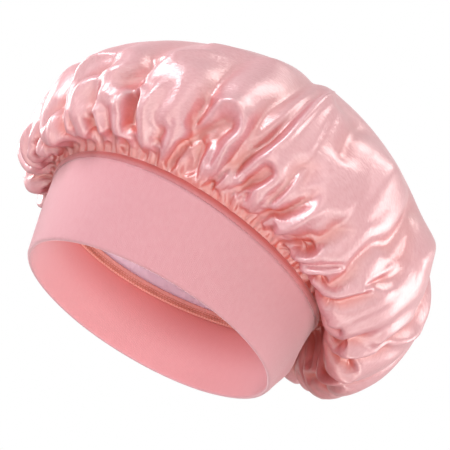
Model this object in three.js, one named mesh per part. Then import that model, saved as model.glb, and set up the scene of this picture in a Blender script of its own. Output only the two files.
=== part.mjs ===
// A sleep bonnet: a gathered satin crown with a smooth lining, sewn to a wide stretch band.
// Millimetres. +Z runs from the head opening to the crown, -Y is the forehead, +Y the nape.
// The origin is the middle of the head opening, level with the fold that forms the rim.
import * as THREE from 'three';

// Head opening, inside the folded rim's outer face
const openingLength = 180;
const openingWidth = 174.4;

// Stretch band, one strip folded double, flaring up to the crown seam
const bandHeight = 57.5;
const seamLength = 202;
const seamWidth = 205;
const seamForward = 3;
const seamLean = 4.5;
const seamWave = 3.4;
const bandPly = 1.3;
const plySlot = 0.6;
const rimFlatDepth = 0.5;
const seamRoll = 1.2;
const seamRollHeight = 6;

// Satin crown, one circle gathered to the seam
const crownFront = 137;
const crownBack = 162;
const crownSide = 133;
const crownHeight = 191;
const crownShift = 12;
const satinWall = 1.6;
const gatherDepth = 18;

// Lining cap under the crown, given by the room between them
const roomAtFront = 27;
const roomAtBack = 50;
const roomAtSide = 22;
const roomAtTop = 27;
const liningWall = 1.2;
const liningEdgeGap = 0.5;

// Seam allowance bound by overlock thread, with an elastic tape caught in it
const allowanceHeight = 9;
const allowanceThickness = 3;
const bindingWall = 0.8;
const elasticHeight = 6;
const elasticThickness = 0.8;

// Gap between pieces that touch
const clearance = 0.3;

// Sizes that follow from the ones above
const crownRise = crownHeight - bandHeight;
const topOffset = crownShift + seamForward;
const crownHalfLength = (crownFront + crownBack) / 2;
const liningFront = crownFront - roomAtFront;
const liningBack = crownBack - roomAtBack;
const liningSide = crownSide - roomAtSide;
const liningHeight = crownHeight - roomAtTop;
const allowanceInset = 2 * bandPly + plySlot + clearance;

// Steps round the sewn rings and round the lining
const ringSteps = 56;
const liningSteps = 48;
const turn = 2 * Math.PI;
const normalStep = turn / 180;

// Crown rings from the seam to the widest ring. The first three numbers are the way from
// the seam out to the widest ring at the front, the sides and the back. The last three
// are heights over the seam, as shares of the crown's rise. The back hangs below the seam.
const bellyShares = [
  [0, 0, 0, 0, 0, 0],
  [0.04, 0.04, 0.025, 0.022, 0.025, 0.022],
  [0.17, 0.17, 0.1, 0.015, 0.05, -0.01],
  [0.41, 0.43, 0.23, -0.04, 0.085, -0.185],
  [0.72, 0.73, 0.52, -0.01, 0.15, -0.265],
  [0.95, 0.95, 0.8, 0.12, 0.23, -0.12],
  [1.02, 1.02, 0.94, 0.24, 0.32, 0.05],
  [1, 1, 1, 0.37, 0.42, 0.25],
];

// Crown rings from the widest ring to the top, as shares of the widest ring's reach from
// the top's middle, at the two ends and at the sides, and of the crown's rise
const domeShares = [
  [0.943, 0.956, 0.51, 0.531, 0.432],
  [0.813, 0.85, 0.668, 0.672, 0.611],
  [0.637, 0.707, 0.809, 0.806, 0.764],
  [0.437, 0.531, 0.913, 0.908, 0.879],
  [0.207, 0.278, 0.98, 0.975, 0.965],
];

// Valleys between the gathers, from the wearer's left side round by the back. Each has its
// place as a share of the turn, its sideways lean, its depth and how far up it reaches.
const gatherShares = [
  [0.036, 0, 0.7, 0.62],
  [0.078, -0.004, 0.75, 0.55],
  [0.119, 0.02, 0.85, 0.62],
  [0.167, 0.045, 1, 0.7],
  [0.211, 0.03, 0.85, 0.58],
  [0.256, 0.012, 0.95, 0.64],
  [0.306, -0.01, 0.75, 0.8],
  [0.356, 0.015, 0.95, 0.6],
  [0.41, 0, 0.7, 0.82],
  [0.466, -0.02, 0.9, 0.6],
  [0.528, 0.01, 0.8, 0.74],
  [0.594, -0.012, 0.85, 0.62],
  [0.658, -0.02, 0.9, 0.6],
  [0.711, -0.03, 0.8, 0.62],
  [0.756, -0.03, 0.85, 0.56],
  [0.8, -0.034, 0.75, 0.64],
  [0.842, -0.042, 1, 0.78],
  [0.875, -0.015, 0.6, 0.5],
  [0.911, -0.022, 0.8, 0.68],
  [0.956, 0.004, 1, 0.66],
  [0.992, 0.016, 0.85, 0.95],
];

// How far the points of each dome ring keep back along their ring, so that the folds run
// straight on from the belly, whose middle lies further forward than the top
const keepBackShares = [0.8, 0.6, 0.4, 0.2, 0];

// How far up the cloth each crown ring lies, from the seam to the top, and the rings that the
// crown's plain inner face keeps
const ringWayShares = [0, 0.012, 0.035, 0.08, 0.15, 0.23, 0.3, 0.37, 0.47, 0.58, 0.69, 0.8, 0.92];
const innerFaceRings = [0, 1, 3, 5, 8, 11];

// How fast the crown's front and back give way to its sides, round the turn
const endSharpness = 1.5;

// The stretch over the seam in which the gathers open out, and how low they are deepest
const openingOutShare = 0.11;
const gatherLowness = 0.65;

// Columns of the crown's mesh from one valley to the next, and how each shares in a valley
const columnShares = [0, 0.33, 0.67];
const valleySharpness = 2;

// How much of a gather's depth stands out as its puff
const puffShare = 0.51;

// Lining rings, as shares of the way out from the seam or in to the top, and of its rise
const liningRingShares = [
  [0, 0],
  [0.1, 0.06],
  [0.6, 0.2],
  [1, 0.42],
];
const liningDomeShares = [
  [0.9, 0.66],
  [0.66, 0.86],
  [0.34, 0.965],
];

const mix = (from, to, share) => from + (to - from) * share;

// Height of the crown seam over the rim: a little higher on the far side, with one soft wave
function seamHeight(angle) {
  return bandHeight - seamLean * Math.cos(angle) - seamWave * Math.sin(2 * angle);
}

// A point on the band's wall, a way above the rim and a way in from its outer face
function wallPoint(angle, height, inset) {
  const share = height / seamHeight(angle);
  const halfWidth = mix(openingWidth, seamWidth, share) / 2 - inset;
  const halfLength = mix(openingLength, seamLength, share) / 2 - inset;
  return new THREE.Vector3(
    halfWidth * Math.cos(angle),
    halfLength * Math.sin(angle) - seamForward * share,
    height,
  );
}

// The same, with the height given as a drop below the seam
function seamPoint(angle, drop, inset) {
  return wallPoint(angle, seamHeight(angle) - drop, inset);
}

// A value that runs round the crown from its front through its sides to its back
function aroundValue(angle, front, side, back) {
  const along = Math.sin(angle);
  const end = along > 0 ? back : front;
  return mix(side, end, Math.abs(along) ** endSharpness);
}

// One closed body from rings of points. Ring sections close on themselves, or run from one
// top point to the other where the body is a cap. Each facet pair shares its shorter diagonal.
function bodyFromRings(rings, tops = null) {
  const columns = rings[0].length;
  const points = rings.flat();
  const faces = [];
  const last = tops ? rings.length - 1 : rings.length;
  for (let row = 0; row < last; row += 1) {
    const here = row * columns;
    const next = ((row + 1) % rings.length) * columns;
    for (let column = 0; column < columns; column += 1) {
      const beside = (column + 1) % columns;
      const rising = points[here + column].distanceTo(points[next + beside]);
      const falling = points[here + beside].distanceTo(points[next + column]);
      if (rising <= falling) {
        faces.push(here + column, here + beside, next + beside);
        faces.push(here + column, next + beside, next + column);
      } else {
        faces.push(here + column, here + beside, next + column);
        faces.push(here + beside, next + beside, next + column);
      }
    }
  }
  if (tops) {
    points.push(tops[0], tops[1]);
    const first = points.length - 2;
    const end = (rings.length - 1) * columns;
    for (let column = 0; column < columns; column += 1) {
      const beside = (column + 1) % columns;
      faces.push(first, beside, column);
      faces.push(first + 1, end + column, end + beside);
    }
  }
  const geometry = new THREE.BufferGeometry();
  const positions = points.flatMap((point) => [point.x, point.y, point.z]);
  geometry.setAttribute('position', new THREE.Float32BufferAttribute(positions, 3));
  geometry.setIndex(faces);
  geometry.computeVertexNormals();
  return geometry;
}

// A ring of constant section sewn along the seam: each section point is a drop and an inset
function sewnRing(section) {
  const rings = section.map(([drop, inset]) => {
    const ring = [];
    for (let step = 0; step < ringSteps; step += 1) {
      ring.push(seamPoint((step / ringSteps) * turn, drop, inset));
    }
    return ring;
  });
  return bodyFromRings(rings);
}

// The band: outer ply up from the rim, over its top edge, down the slot, round and back
function bandGeometry() {
  const whole = 2 * bandPly + plySlot;
  const foldRadius = whole / 2;
  const flatHalf = Math.sqrt(foldRadius ** 2 - (foldRadius - rimFlatDepth) ** 2);
  const heightShares = [0.28, 0.52, 0.76];
  const slotShares = [0.36, 0.7];
  const rollShares = [0, 0.5, 1];
  const section = [];
  const add = (heightOf, insetOf) => section.push({ heightOf, inset: insetOf });
  const straight = (angle) => seamHeight(angle) - seamRollHeight;
  add(() => 0, foldRadius - flatHalf);
  add(() => foldRadius - rimFlatDepth, 0);
  for (const share of heightShares) {
    add((angle) => straight(angle) * share, 0);
  }
  for (const share of rollShares) {
    const swell = seamRoll * Math.sin(Math.PI * share);
    add((angle) => straight(angle) + seamRollHeight * share, -swell);
  }
  add((angle) => seamHeight(angle), bandPly);
  for (const share of [...slotShares].reverse()) {
    add((angle) => mix(whole, seamHeight(angle), share), bandPly);
  }
  add(() => whole, bandPly);
  add(() => whole, bandPly + plySlot);
  for (const share of slotShares) {
    add((angle) => mix(whole, seamHeight(angle), share), bandPly + plySlot);
  }
  add((angle) => seamHeight(angle), bandPly + plySlot);
  add((angle) => seamHeight(angle), whole);
  for (const share of [...heightShares].reverse()) {
    add((angle) => straight(angle) * share, whole);
  }
  add(() => foldRadius - rimFlatDepth, whole);
  add(() => 0, foldRadius + flatHalf);
  const rings = section.map(({ heightOf, inset }) => {
    const ring = [];
    for (let step = 0; step < ringSteps; step += 1) {
      const angle = (step / ringSteps) * turn;
      ring.push(wallPoint(angle, heightOf(angle), inset));
    }
    return ring;
  });
  return bodyFromRings(rings);
}

// The bound seam allowance: a channel open upwards, with the elastic tape inside it
function allowanceGeometry() {
  const inner = allowanceInset;
  const outer = allowanceInset + allowanceThickness;
  const corner = bindingWall / 2;
  return sewnRing([
    [allowanceHeight - corner, inner],
    [clearance, inner],
    [clearance, inner + bindingWall],
    [allowanceHeight - bindingWall, inner + bindingWall],
    [allowanceHeight - bindingWall, outer - bindingWall],
    [clearance, outer - bindingWall],
    [clearance, outer],
    [allowanceHeight - corner, outer],
    [allowanceHeight, outer - corner],
    [allowanceHeight, inner + corner],
  ]);
}

function elasticGeometry() {
  const middle = allowanceInset + allowanceThickness / 2;
  const near = middle - elasticThickness / 2;
  const far = middle + elasticThickness / 2;
  const bottom = allowanceHeight - bindingWall - clearance;
  return sewnRing([
    [bottom, near],
    [bottom - elasticHeight, near],
    [bottom - elasticHeight, far],
    [bottom, far],
  ]);
}

// A point on a crown ring before its folds
function crownPoint(ring, angle) {
  const seam = seamPoint(angle, -clearance, 0);
  if (ring < bellyShares.length) {
    const [front, side, back, frontRise, sideRise, backRise] = bellyShares[ring];
    const endFrom = Math.abs(seamPoint(Math.sign(Math.sin(angle)) * turn / 4, 0, 0).y);
    const endTo = Math.sin(angle) > 0 ? crownBack : crownFront;
    const endShare = Math.sin(angle) > 0 ? back : front;
    const rise = aroundValue(angle, frontRise, sideRise, backRise) * crownRise;
    return new THREE.Vector3(
      mix(seamWidth / 2, crownSide, side) * Math.cos(angle),
      seam.y + (endTo - endFrom) * endShare * Math.sin(angle),
      seam.z + rise,
    );
  }
  const domeRing = ring - bellyShares.length;
  const [endShare, side, frontRise, sideRise, backRise] = domeShares[domeRing];
  const keptBack = keepBackShares[domeRing] * Math.asin(topOffset / crownHalfLength);
  const along = angle - keptBack * Math.cos(angle);
  const endReach = Math.sin(along) > 0 ? crownBack - crownShift : crownFront + crownShift;
  const rise = aroundValue(along, frontRise, sideRise, backRise) * crownRise;
  return new THREE.Vector3(
    crownSide * side * Math.cos(along),
    crownShift + endReach * endShare * Math.sin(along),
    bandHeight + rise,
  );
}

const crownRings = bellyShares.length + domeShares.length;
const crownTop = new THREE.Vector3(0, crownShift, crownHeight);

// The way out of the crown's surface at a ring, from its neighbours round and along it
function crownNormal(ring, angle) {
  const before = crownPoint(ring, angle - normalStep);
  const beside = crownPoint(ring, angle + normalStep).sub(before);
  const above = ring + 1 < crownRings ? crownPoint(ring + 1, angle) : crownTop.clone();
  const below = crownPoint(Math.max(ring - 1, 0), angle);
  return beside.cross(above.sub(below)).normalize();
}

// How deep a valley lies at a share of the way up: none at the seam, most about a third up
function valleyShare(wayUp, reach) {
  const along = Math.min(wayUp / reach, 1);
  return Math.sin(Math.PI * along ** gatherLowness) * Math.min(wayUp / openingOutShare, 1);
}

// The depth that the plain inner face has to clear at a ring
function deepestShare(wayUp) {
  return Math.max(...gatherShares.map((valley) => valley[2] * valleyShare(wayUp, valley[3])));
}

// Columns of the crown: each starts in a valley or between two and leans with them
function crownColumns() {
  const columns = [];
  gatherShares.forEach((valley, index) => {
    const next = gatherShares[(index + 1) % gatherShares.length];
    const gap = (next[0] - valley[0] + 1) % 1;
    for (const share of columnShares) {
      columns.push({ valley, next, share, start: valley[0] + gap * share });
    }
  });
  return columns;
}

// A folded crown: outer face with its gathers, turned over the seam edge into a plain inner
// face that clears the deepest valley
function crownGeometry() {
  const columns = crownColumns();
  const place = (column, ring, face) => {
    const wayUp = ringWayShares[ring];
    const lean = mix(column.valley[1], column.next[1], column.share);
    const angle = (column.start + lean * Math.sin((Math.PI * wayUp) / 2)) * turn;
    const point = crownPoint(ring, angle);
    if (face === 'inner' && ring === 0) {
      return seamPoint(angle, -clearance, satinWall);
    }
    const near = (1 - column.share) ** valleySharpness;
    const far = column.share ** valleySharpness;
    const ownValley = column.valley[2] * valleyShare(wayUp, column.valley[3]);
    const nextValley = column.next[2] * valleyShare(wayUp, column.next[3]);
    const puff = puffShare * mix(ownValley, nextValley, column.share);
    const foldDepth = (near * ownValley + far * nextValley - puff) * gatherDepth;
    const clearDepth = satinWall + (1 - puffShare) * deepestShare(wayUp) * gatherDepth;
    const depth = face === 'inner' ? clearDepth : foldDepth;
    return point.addScaledVector(crownNormal(ring, angle), -depth);
  };
  const outer = [];
  for (let ring = crownRings - 1; ring >= 0; ring -= 1) {
    outer.push(columns.map((column) => place(column, ring, 'outer')));
  }
  const inner = innerFaceRings.map((ring) => columns.map((column) => place(column, ring, 'inner')));
  const innerTop = crownTop.clone();
  innerTop.z -= satinWall + gatherDepth;
  return bodyFromRings([...inner.reverse(), ...outer.reverse()], [innerTop, crownTop.clone()]);
}

// The lining: a smooth cap, its edge caught in the same seam just inside the satin
function liningGeometry() {
  const liningRise = liningHeight - bandHeight;
  const edgeInset = satinWall + liningEdgeGap;
  const place = (angle, ring, inset) => {
    const seam = seamPoint(angle, -clearance, edgeInset + inset);
    const lower = ring < liningRingShares.length;
    const share = lower ? liningRingShares[ring] : liningDomeShares[ring - liningRingShares.length];
    const end = Math.sin(angle) > 0 ? liningBack : liningFront;
    const sideReach = lower
      ? mix(seamWidth / 2 - edgeInset, liningSide, share[0])
      : liningSide * share[0];
    const endReach = lower ? mix(seamLength / 2 - edgeInset, end, share[0]) : end * share[0];
    if (ring === 0) {
      return seam;
    }
    const rise = share[1] * (liningRise - inset);
    return new THREE.Vector3(
      (sideReach - inset) * Math.cos(angle),
      (endReach - inset) * Math.sin(angle) - seamForward * (1 - share[1]),
      mix(seam.z, bandHeight, share[1]) + rise,
    );
  };
  const ringCount = liningRingShares.length + liningDomeShares.length;
  const face = (inset) => {
    const rings = [];
    for (let ring = 0; ring < ringCount; ring += 1) {
      const points = [];
      for (let step = 0; step < liningSteps; step += 1) {
        points.push(place((step / liningSteps) * turn, ring, inset));
      }
      rings.push(points);
    }
    return rings;
  };
  const top = new THREE.Vector3(0, 0, liningHeight);
  const innerTop = new THREE.Vector3(0, 0, liningHeight - liningWall);
  return bodyFromRings([...face(liningWall).reverse(), ...face(0)], [innerTop, top]);
}

const materials = {
  satin: new THREE.MeshStandardMaterial({ color: '#e3a3a3', roughness: 0.32, metalness: 0 }),
  lining: new THREE.MeshStandardMaterial({ color: '#d6a9b8', roughness: 0.5, metalness: 0 }),
  band: new THREE.MeshStandardMaterial({ color: '#e8a5a8', roughness: 0.9, metalness: 0 }),
  binding: new THREE.MeshStandardMaterial({ color: '#d0756b', roughness: 0.85, metalness: 0 }),
  elastic: new THREE.MeshStandardMaterial({ color: '#f0e6e2', roughness: 0.7, metalness: 0 }),
};

function piece(name, geometry, material) {
  const mesh = new THREE.Mesh(geometry, material);
  mesh.name = name;
  return mesh;
}

const group = new THREE.Group();
group.name = 'hair_bonnet';
group.add(
  piece('satin_crown', crownGeometry(), materials.satin),
  piece('crown_lining', liningGeometry(), materials.lining),
  piece('stretch_band', bandGeometry(), materials.band),
  piece('overlock_seam', allowanceGeometry(), materials.binding),
  piece('seam_elastic', elasticGeometry(), materials.elastic),
);

export default group;
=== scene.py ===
import math

import bpy
import numpy as np
from mathutils import Matrix, Vector


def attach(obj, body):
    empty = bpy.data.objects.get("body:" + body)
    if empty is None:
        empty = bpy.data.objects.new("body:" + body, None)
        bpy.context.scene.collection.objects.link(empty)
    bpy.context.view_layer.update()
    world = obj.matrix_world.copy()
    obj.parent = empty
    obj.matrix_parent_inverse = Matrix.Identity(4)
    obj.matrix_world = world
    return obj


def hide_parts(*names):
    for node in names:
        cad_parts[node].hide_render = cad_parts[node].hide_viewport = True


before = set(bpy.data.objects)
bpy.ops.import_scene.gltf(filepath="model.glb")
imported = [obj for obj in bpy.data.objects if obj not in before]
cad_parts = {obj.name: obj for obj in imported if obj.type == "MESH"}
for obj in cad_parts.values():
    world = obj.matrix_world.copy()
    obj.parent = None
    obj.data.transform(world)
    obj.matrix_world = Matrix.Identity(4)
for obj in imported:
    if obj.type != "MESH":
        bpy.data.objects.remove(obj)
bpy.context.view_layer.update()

body = "root"
turn = 2 * math.pi


# Helpers for objects, meshes and node trees

def addObject(name, data):
    obj = bpy.data.objects.new(name, data)
    bpy.context.scene.collection.objects.link(obj)
    return obj


def linearColor(hexText):
    # sRGB hex to linear RGBA
    parts = [int(hexText[i : i + 2], 16) / 255 for i in (1, 3, 5)]
    flat = [c / 12.92 if c <= 0.04045 else ((c + 0.055) / 1.055) ** 2.4 for c in parts]
    return (*flat, 1.0)


def addNode(tree, kind, settings=None, **inputs):
    # an input is a value, a hex colour, an output socket, or a node for its first output;
    # n and a number stand for the input at that place
    node = tree.nodes.new("ShaderNode" + kind)
    for name, value in (settings or {}).items():
        setattr(node, name, value)
    for name, value in inputs.items():
        byPlace = name[0] == "n" and name[1:].isdigit()
        socket = node.inputs[int(name[1:]) if byPlace else name.replace("_", " ")]
        if isinstance(value, bpy.types.Node):
            value = value.outputs[0]
        if isinstance(value, bpy.types.NodeSocket):
            tree.links.new(value, socket)
        else:
            socket.default_value = linearColor(value) if isinstance(value, str) else value
    return node


def newMaterial(name):
    material = bpy.data.materials.new(name)
    material.use_nodes = True
    material.node_tree.nodes.clear()
    return material, material.node_tree


def makePiece(name, points, faces, material, uv=None, wrap=(0, 0)):
    mesh = bpy.data.meshes.new(name)
    mesh.from_pydata([tuple(p) for p in points], [], [tuple(f) for f in faces])
    mesh.shade_smooth()
    mesh.materials.append(material)
    obj = addObject(name, mesh)
    if uv is not None:
        layer = mesh.uv_layers.new(name="cloth")
        corners = np.zeros(len(mesh.loops), np.int32)
        mesh.loops.foreach_get("vertex_index", corners)
        placed = np.asarray(uv, float)[corners].reshape(-1, 4, 2)
        for k in np.flatnonzero(wrap):  # faces that close a ring carry on past its end
            first = placed[..., k] < placed[..., k].max(1, keepdims=True) - wrap[k] / 2
            placed[..., k] += first * wrap[k]
        layer.data.foreach_set("uv", placed.astype(np.float32).ravel())
    return obj


def gridFaces(rows, columns):
    # quads of a grid of points that closes on itself both ways
    place = np.arange(rows * columns).reshape(rows, columns)
    beside, above = np.roll(place, -1, 1), np.roll(place, -1, 0)
    return np.stack((place, beside, np.roll(above, -1, 1), above), -1).reshape(-1, 4)


# Photo camera: it looks up into the head opening from the wearer's left

camera = {
    "target": (0, 0.0115, 0.089),
    "distance": 0.7774,
    "azimuth": -0.91,  # degrees round from +X
    "elevation": -24.89,
    "roll": 30.44,
    "lens": 91.27,  # mm
    "sensor": 36,  # mm wide
    "nearest": 0.01,
}


def makeCamera():
    data = bpy.data.cameras.new("photoCamera")
    data.sensor_width = camera["sensor"]
    data.lens = camera["lens"]
    data.clip_start = camera["nearest"]
    obj = addObject("photoCamera", data)
    place = Matrix.Translation(camera["target"])
    turns = (("Z", 90 + camera["azimuth"]), ("X", 90 - camera["elevation"]), ("Z", camera["roll"]))
    for axis, degrees in turns:
        place @= Matrix.Rotation(math.radians(degrees), 4, axis)
    obj.matrix_world = place @ Matrix.Translation((0, 0, camera["distance"]))
    bpy.context.scene.camera = obj


makeCamera()


# Floor, white surround and lamps

studio = {
    "surround": 0.22,
    "surroundTint": "#FFF6F4",
    "floor": "#F1EFED",
    "floorHalf": 3.0,
    "floorDrop": 0.0004,
    "whitens": (0.22, 0.62),  # metres from the middle over which the floor turns white
    "tints": {"frontSoftbox": "#FAF7FF", "frontFill": "#F8F6FF", "lowFill": "#FFF2EC"},
    # each lamp: where it stands, the point it faces, its width, height and power
    "lamps": {
        "frontSoftbox": ((0.75, -0.95, 0.5), (0, 0, 0.11), 0.69, 0.56, 6.6),
        "frontFill": ((0.4, -1.15, -0.35), (0, 0, 0.08), 0.52, 0.43, 5.2),
        "foreheadSoftbox": ((-0.45, -1.1, 0.3), (0, 0, 0.1), 0.6, 0.52, 7.4),
        "sideSoftbox": ((1.25, 0.1, 0.15), (0, 0, 0.1), 0.35, 0.9, 0.7),
        "crownSoftbox": ((0.5, 0.3, 1.15), (0, 0, 0.12), 0.69, 0.56, 3.3),
        "rimSoftbox": ((0.1, 1.15, 0.45), (0, 0, 0.11), 0.69, 0.52, 3.4),
        "backFill": ((0.6, 0.85, -0.65), (0, 0.03, 0.07), 0.6, 0.5, 7.4),
        "lowFill": ((1.1, 0.1, -0.55), (0, 0, 0.08), 0.47, 0.39, 4.1),
        "openingFill": ((0.35, 0, -1.0), (-0.03, 0, 0.05), 0.7, 0.7, 0.7),
        "backSoftbox": ((-1.1, -0.1, 0.5), (0, 0, 0.1), 0.8, 0.6, 6.0),
        # the light that passes through the thin cloth and fills the inside
        "throughCloth": ((0.02, 0, 0.01), None, 0.05, 0.05, 0.13),
    },
    "keptOffSatin": ("openingFill", "throughCloth"),
}
smoothStep = {"interpolation_type": "SMOOTHSTEP"}
colorMix = {"data_type": "RGBA"}


def makeStage():
    material, tree = newMaterial("paleStudioFloor")
    ground = addNode(tree, "NewGeometry")
    paint = addNode(tree, "BsdfDiffuse", Color=studio["floor"])
    # away from the object the paint gives way to the plain white of the surround
    far = addNode(tree, "VectorMath", {"operation": "LENGTH"}, n0=ground.outputs["Position"])
    start, end = studio["whitens"]
    share = addNode(tree, "MapRange", smoothStep, n0=far.outputs["Value"], n1=start, n2=end)
    white = addNode(tree, "Emission", Color="#FFFFFF", Strength=1)
    top = addNode(tree, "MixShader", n0=share, n1=paint, n2=white)
    # the floor shows from above only, so that the photo camera sees past it from below
    clear = addNode(tree, "BsdfTransparent")
    both = addNode(tree, "MixShader", n0=ground.outputs["Backfacing"], n1=top, n2=clear)
    addNode(tree, "OutputMaterial", Surface=both)
    half, down = studio["floorHalf"], -studio["floorDrop"]
    corners = [(x * half, y * half, down) for x, y in ((-1, -1), (1, -1), (1, 1), (-1, 1))]
    mesh = bpy.data.meshes.new("studioFloor")
    mesh.from_pydata(corners, [], [(0, 1, 2, 3)])
    mesh.materials.append(material)
    floor = addObject("studioFloor", mesh)
    floor.visible_diffuse = False  # light reaches the object from below as well
    floor.visible_shadow = False

    world = bpy.data.worlds.new("studioSurround")
    world.use_nodes = True
    tree = world.node_tree
    tree.nodes.clear()
    path = addNode(tree, "LightPath").outputs
    seen = path["Is Camera Ray"]
    for ray in ("Is Glossy Ray", "Is Transmission Ray"):
        seen = addNode(tree, "Math", {"operation": "MAXIMUM"}, n0=seen, n1=path[ray])
    white = addNode(tree, "Background", Color="#FFFFFF", Strength=1)
    soft = addNode(tree, "Background", Color=studio["surroundTint"], Strength=studio["surround"])
    both = addNode(tree, "MixShader", n0=seen, n1=soft, n2=white)
    addNode(tree, "OutputWorld", Surface=both)
    bpy.context.scene.world = world


def makeLamps(offSatin):
    # offSatin is the collection of pieces that the lamps kept off the satin still light
    for name, (place, target, width, height, power) in studio["lamps"].items():
        data = bpy.data.lights.new(name, "AREA" if target else "POINT")
        data.energy = power
        data.color = linearColor(studio["tints"].get(name, "#FFFFFF"))[:3]
        lamp = addObject(name, data)
        lamp.location = place
        if target:
            data.shape = "RECTANGLE"
            data.size, data.size_y = width, height
            lamp.rotation_mode = "QUATERNION"
            lamp.rotation_quaternion = (Vector(target) - Vector(place)).to_track_quat("-Z", "Y")
        else:
            data.shadow_soft_size = width / 2
        if name in studio["keptOffSatin"]:
            lamp.light_linking.receiver_collection = offSatin


makeStage()
print("stage: floor and surround stand")


# Finishes

waveScale = math.pi / 10  # at this scale a wave repeats once a unit


def clothPlace(tree, across, along=None):
    # the flat cloth's coordinates, on which a pattern repeats every so many millimetres
    flat = addNode(tree, "UVMap", {"uv_map": "cloth"})
    repeats = (1000 / across, 1000 / (along or across), 1)
    return addNode(tree, "VectorMath", {"operation": "MULTIPLY"}, n0=flat, n1=repeats)


satin = {
    "pink": "#CA7E88",
    "light": "#DA9EA5",
    # painted shade and bounced light: this coral is painted into the hollows and up from the seam
    "paintedShadeCoral": "#CE5440",  # in the hollows, where the cloth is lit through its own folds
    "roughness": 0.3,
    "threadPitch": 1.3,  # mm; the real warp is near 0.1 mm and is drawn coarser to show
    "floatLength": 3,  # thread pitches that a thread shows for
    "cloud": 60,  # mm over which the pink drifts
    "ripple": 9,
}


def makeSatin():
    # Woven polyester satin: long floating warp threads give a clear sheen that stretches
    # across the warp, over a soft pink ground with a darker coral painted into the folds as their shade
    material, tree = newMaterial("wovenPolyesterSatin")
    pitch = satin["threadPitch"]
    warp = clothPlace(tree, pitch, pitch * satin["floatLength"])
    thread = addNode(tree, "TexNoise", Vector=warp, Scale=1, Detail=2)
    cloud = addNode(tree, "TexNoise", Vector=clothPlace(tree, satin["cloud"]), Scale=1, Detail=3)
    ripple = addNode(tree, "TexNoise", Vector=clothPlace(tree, satin["ripple"]), Scale=1, Detail=2)
    speckle = addNode(tree, "Math", {"operation": "MULTIPLY_ADD"}, n0=thread, n1=1.6, n2=-0.8)
    share = addNode(tree, "Math", {"operation": "ADD"}, n0=cloud, n1=speckle)
    tone = addNode(tree, "Mix", colorMix, n0=share, n6=satin["pink"], n7=satin["light"])
    # painted shade: the coral is mixed in where the hollows and the seam lie in shade
    hollowShade = addNode(tree, "Attribute", {"attribute_name": "hollowShade"}).outputs["Fac"]
    tone = addNode(tree, "Mix", colorMix, n0=hollowShade, n6=tone.outputs[2], n7=satin["paintedShadeCoral"])
    fine = addNode(tree, "Bump", Strength=0.5, Distance=0.0005, Height=thread)
    soft = addNode(tree, "Bump", Strength=0.25, Distance=0.0006, Height=ripple, Normal=fine)
    along = addNode(tree, "Tangent", {"direction_type": "UV_MAP", "uv_map": "cloth"})
    shader = addNode(
        tree, "BsdfPrincipled", Base_Color=tone.outputs[2], Roughness=satin["roughness"], IOR=2.35,
        Specular_IOR_Level=1.0, Specular_Tint="#FAE6E2", Anisotropic=0.6, Sheen_Weight=0.1,
        Sheen_Roughness=0.4, Sheen_Tint="#FFE9E6", Normal=soft, Tangent=along,
    )
    addNode(tree, "OutputMaterial", Surface=shader)
    return material


knit = {
    "walePitch": 1.1,  # mm between the ribs of stitches
    "coursePitch": 0.9,
    "heather": (2.2, 5),  # mm over which the two pinks mix
    "fuzz": 0.7,
    # each ply: its two pinks and the darker pink painted at the seam as shade, then mm along the
    # cloth to the seam and how far from there the painted shade reaches
    "outside": ("#DA999F", "#E0A8AE", "#BE5650", 52.5, 7.0),
    # painted light: the inside ply is the same jersey again, tinted for the light inside the cavity
    "inside": ("#E29EA1", "#E7A9AB", "#D67875", 160.0, 42.0),
}


def makeKnit(name, pink, light, seamShade, seamUp, shadeReach):
    # Cotton and elastane jersey: matt loops in fine upright ribs, slightly furry at edges.
    # Along the seam a darker pink is painted in as shade under the satin's overhang.
    material, tree = newMaterial(name)
    heather = addNode(tree, "TexNoise", Vector=clothPlace(tree, *knit["heather"]), Scale=1, Detail=4)
    up = addNode(tree, "SeparateXYZ", n0=clothPlace(tree, 1)).outputs["Y"]
    # painted seam shade: full at the seam, fading out over the given reach
    far = addNode(tree, "Math", {"operation": "SUBTRACT"}, n0=up, n1=seamUp)
    far = addNode(tree, "Math", {"operation": "ABSOLUTE"}, n0=far)
    edge = addNode(tree, "MapRange", smoothStep, n0=far, n1=shadeReach, n2=0.0)
    tone = addNode(tree, "Mix", colorMix, n0=heather, n6=pink, n7=light)
    tone = addNode(tree, "Mix", colorMix, n0=edge, n6=tone.outputs[2], n7=seamShade)
    rows = clothPlace(tree, knit["walePitch"], knit["coursePitch"])
    wales = addNode(
        tree, "TexWave", {"wave_type": "BANDS", "bands_direction": "X"}, Vector=rows,
        Scale=waveScale, Distortion=1.2, Detail=2, Detail_Scale=1.5,
    ).outputs["Fac"]
    fuzz = addNode(tree, "TexNoise", Vector=clothPlace(tree, knit["fuzz"]), Scale=1, Detail=3)
    ribs = addNode(tree, "Bump", Strength=0.3, Distance=0.0003, Height=wales)
    loops = addNode(tree, "Bump", Strength=0.35, Distance=0.0003, Height=fuzz, Normal=ribs)
    shader = addNode(
        tree, "BsdfPrincipled", Base_Color=tone.outputs[2], Roughness=0.92, Specular_IOR_Level=0.25,
        Sheen_Weight=0.9, Sheen_Roughness=0.5, Sheen_Tint="#FFE6E8", Normal=loops,
    )
    addNode(tree, "OutputMaterial", Surface=shader)
    return material


def finishTrim(material, tree, pattern, dark, light, relief, depth, roughness, specular):
    # a plain fabric whose pattern runs from one tone to the other and stands up a little
    tone = addNode(tree, "Mix", colorMix, n0=pattern, n6=dark, n7=light)
    bump = addNode(tree, "Bump", Strength=relief, Distance=depth, Height=pattern)
    shader = addNode(
        tree, "BsdfPrincipled", Base_Color=tone.outputs[2], Roughness=roughness,
        Specular_IOR_Level=specular, Normal=bump,
    )
    addNode(tree, "OutputMaterial", Surface=shader)
    return material


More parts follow.
